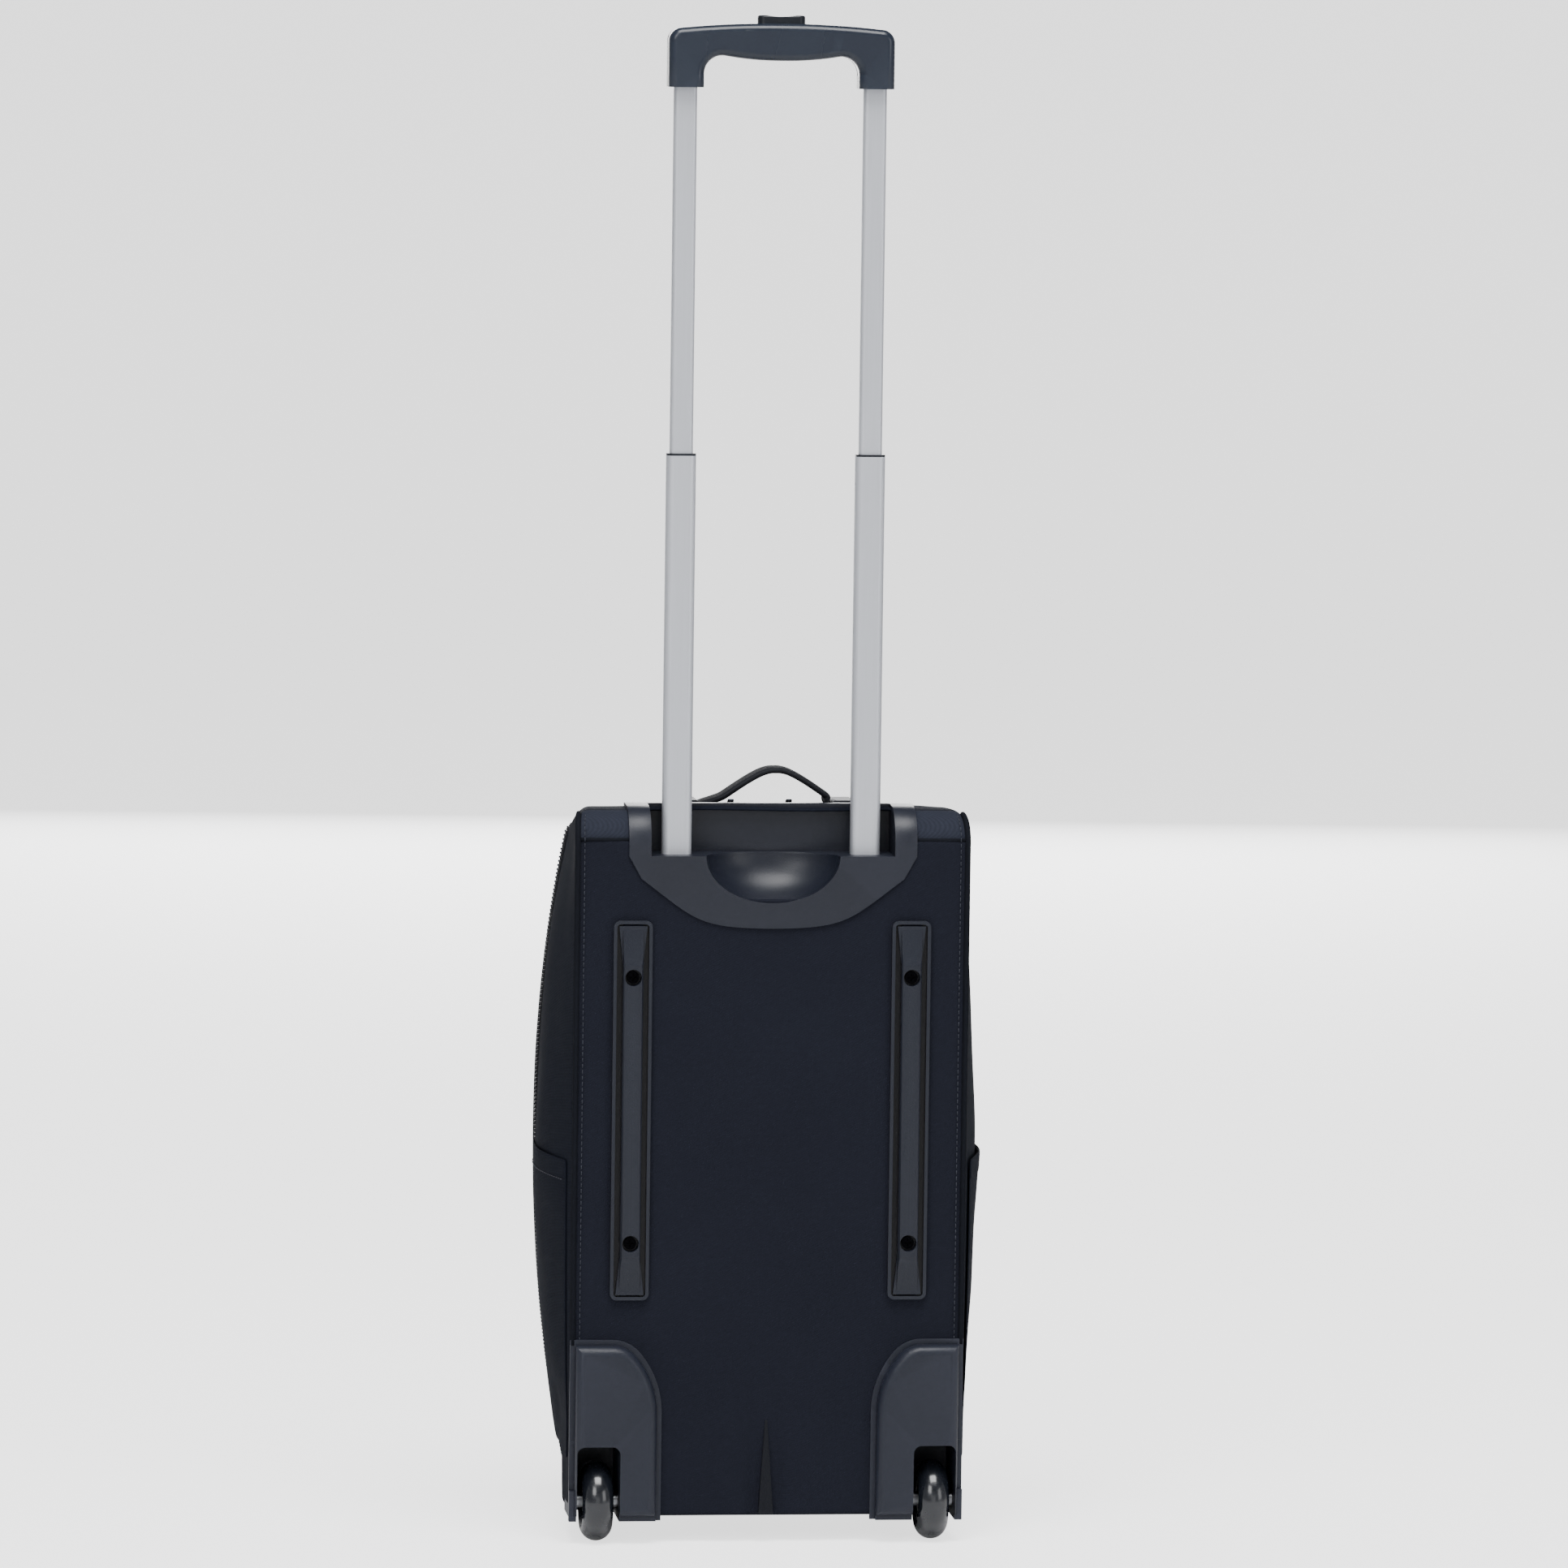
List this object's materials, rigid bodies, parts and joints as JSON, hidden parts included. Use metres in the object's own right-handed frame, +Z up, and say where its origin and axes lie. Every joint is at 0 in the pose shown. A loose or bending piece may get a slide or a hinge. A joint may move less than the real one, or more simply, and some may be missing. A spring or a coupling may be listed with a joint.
{
  "type": "softside upright suitcase",
  "caption": "Softside upright suitcase with a telescopic trolley handle drawn out, skate wheels, skid rails and a zipped lid that opens",
  "frame": {"origin": "middle of the footprint, on the floor", "axes": "+Z up; -Y the back with the trolley handle, rails and wheels; +Y the lid with its pockets; +X to the right seen from behind"},
  "size_m": [0.3236, 0.2347, 1.137],
  "materials": {
    "back_fabric": "tight plain woven polyester, matt",
    "shell_fabric": "woven polyester with a slight sheen",
    "lining": "thin smooth lining cloth",
    "piping": "corded piping in a smooth cover",
    "webbing": "ribbed webbing",
    "zip": "zip tape with moulded teeth",
    "zip_metal": "dark coated zinc",
    "cup_plastic": "fine grained moulding",
    "housing_plastic": "grained moulding, scuffed lightly",
    "rail_plastic": "satin moulding",
    "grip_plastic": "satin moulding with fine lines",
    "button_plastic": "satin moulding",
    "inner_plastic": "plain moulding",
    "wheel_plastic": "hard glossy moulding",
    "tyre": "glossy polyurethane",
    "aluminium": "drawn and anodised, satin",
    "steel": "plated"
  },
  "bodies": {
    "case": {"back_panel": "back_fabric", "bottom_panel": "shell_fabric", "top_panel": "shell_fabric", "side_panel_left": "shell_fabric", "side_panel_right": "shell_fabric", "side_pockets": "shell_fabric", "back_piping": "piping", "back_board": "inner_plastic", "mouth_wire": "steel", "case_zip_tape": "zip", "lid_hinge_strip": "shell_fabric", "lining_panel": "lining", "handle_cup": "cup_plastic", "case_screws": "steel", "outer_channels": "aluminium", "trolley_base": "inner_plastic", "skid_rail_left": "rail_plastic", "skid_rail_right": "rail_plastic", "wheel_housing_left": "housing_plastic", "wheel_housing_right": "housing_plastic", "axles": "steel", "centre_skid": "rail_plastic", "front_feet": "rail_plastic", "carry_handle": "webbing", "handle_plates": "cup_plastic"},
    "lid": {"lid_panel": "shell_fabric", "lid_gusset": "shell_fabric", "lid_zip_tape": "zip", "lower_pocket": "shell_fabric", "upper_pocket": "shell_fabric", "pocket_zips": "zip"},
    "middle_stage": {"middle_tube_left": "aluminium", "middle_tube_right": "aluminium", "tube_collars": "inner_plastic", "guide_blocks": "inner_plastic"},
    "upper_stage": {"upper_tube_left": "aluminium", "upper_tube_right": "aluminium", "grip_back_shell": "grip_plastic", "grip_front_shell": "grip_plastic", "grip_screws": "steel", "lock_blocks": "inner_plastic", "return_springs": "steel"},
    "button": {"release_button": "button_plastic", "push_rods": "steel"},
    "pin_left": {"lock_pin_left": "steel"},
    "pin_right": {"lock_pin_right": "steel"},
    "wheel_left": {"wheel_tyre_left": "tyre", "wheel_hub_left": "wheel_plastic", "wheel_bearings_left": "steel"},
    "wheel_right": {"wheel_tyre_right": "tyre", "wheel_hub_right": "wheel_plastic", "wheel_bearings_right": "steel"},
    "slider_main_left": {"main_slider_left": "zip_metal"},
    "puller_main_left": {"main_puller_left": "zip_metal"},
    "slider_main_right": {"main_slider_right": "zip_metal"},
    "puller_main_right": {"main_puller_right": "zip_metal"},
    "slider_lower_pocket": {"lower_pocket_slider": "zip_metal"},
    "puller_lower_pocket": {"lower_pocket_puller": "zip_metal"},
    "slider_upper_pocket": {"upper_pocket_slider": "zip_metal"},
    "puller_upper_pocket": {"upper_pocket_puller": "zip_metal"}
  },
  "joints": [
    {"name": "middle_slide", "type": "slide", "parent": "case", "child": "middle_stage", "axis": [0, 0, 1], "range_m": [-0.2965, 0]},
    {"name": "upper_slide", "type": "slide", "parent": "middle_stage", "child": "upper_stage", "axis": [0, 0, 1], "range_m": [-0.269, 0]},
    {"name": "button_press", "type": "slide", "parent": "upper_stage", "child": "button", "axis": [0, 0, -1], "range_m": [0, 0.005], "stiffness_N_per_m": 1400, "springref_m": -0.003, "deforming": ["return_springs"]},
    {"name": "lock_pin_left_draw", "type": "slide", "parent": "upper_stage", "child": "pin_left", "axis": [1, 0, 0], "range_m": [0, 0.0025]},
    {"name": "lock_pin_right_draw", "type": "slide", "parent": "upper_stage", "child": "pin_right", "axis": [-1, 0, 0], "range_m": [0, 0.0025]},
    {"name": "lid_hinge", "type": "hinge", "parent": "case", "child": "lid", "pos_m": [0.1605, 0.04682, 0.283], "axis": [0, 0.0748, -0.9972], "range_deg": [0, 160]},
    {"name": "wheel_left_spin", "type": "hinge", "parent": "case", "child": "wheel_left", "pos_m": [-0.126, -0.0873, 0.03], "axis": [1, 0, 0], "continuous": true},
    {"name": "wheel_right_spin", "type": "hinge", "parent": "case", "child": "wheel_right", "pos_m": [0.126, -0.0873, 0.03], "axis": [1, 0, 0], "continuous": true},
    {"name": "slider_main_left_run", "type": "slide", "parent": "case", "child": "slider_main_left", "axis": [1, 0, 0], "range_m": [-0.07, 0.012]},
    {"name": "puller_main_left_swing", "type": "hinge", "parent": "slider_main_left", "child": "puller_main_left", "pos_m": [-0.022, 0.02023, 0.53616], "axis": [-1, 0, 0], "range_deg": [0, 150]},
    {"name": "slider_main_right_run", "type": "slide", "parent": "case", "child": "slider_main_right", "axis": [1, 0, 0], "range_m": [-0.012, 0.07]},
    {"name": "puller_main_right_swing", "type": "hinge", "parent": "slider_main_right", "child": "puller_main_right", "pos_m": [0.022, 0.02023, 0.53616], "axis": [-1, 0, 0], "range_deg": [0, 150]},
    {"name": "slider_lower_pocket_run", "type": "slide", "parent": "lid", "child": "slider_lower_pocket", "axis": [1, 0, 0], "range_m": [-0.19, 0.006]},
    {"name": "puller_lower_pocket_swing", "type": "hinge", "parent": "slider_lower_pocket", "child": "puller_lower_pocket", "pos_m": [0.092, 0.11296, 0.28961], "axis": [1, 0, 0], "range_deg": [0, 100]},
    {"name": "slider_upper_pocket_run", "type": "slide", "parent": "lid", "child": "slider_upper_pocket", "axis": [1, 0, 0], "range_m": [-0.18, 0.006]},
    {"name": "puller_upper_pocket_swing", "type": "hinge", "parent": "slider_upper_pocket", "child": "puller_upper_pocket", "pos_m": [0.086, 0.07453, 0.46021], "axis": [1, 0, 0], "range_deg": [0, 100]}
  ],
  "couplings": [
    {"joint": "lock_pin_left_draw", "follows": "button_press", "ratio": 0.5},
    {"joint": "lock_pin_right_draw", "follows": "button_press", "ratio": 0.5}
  ]
}
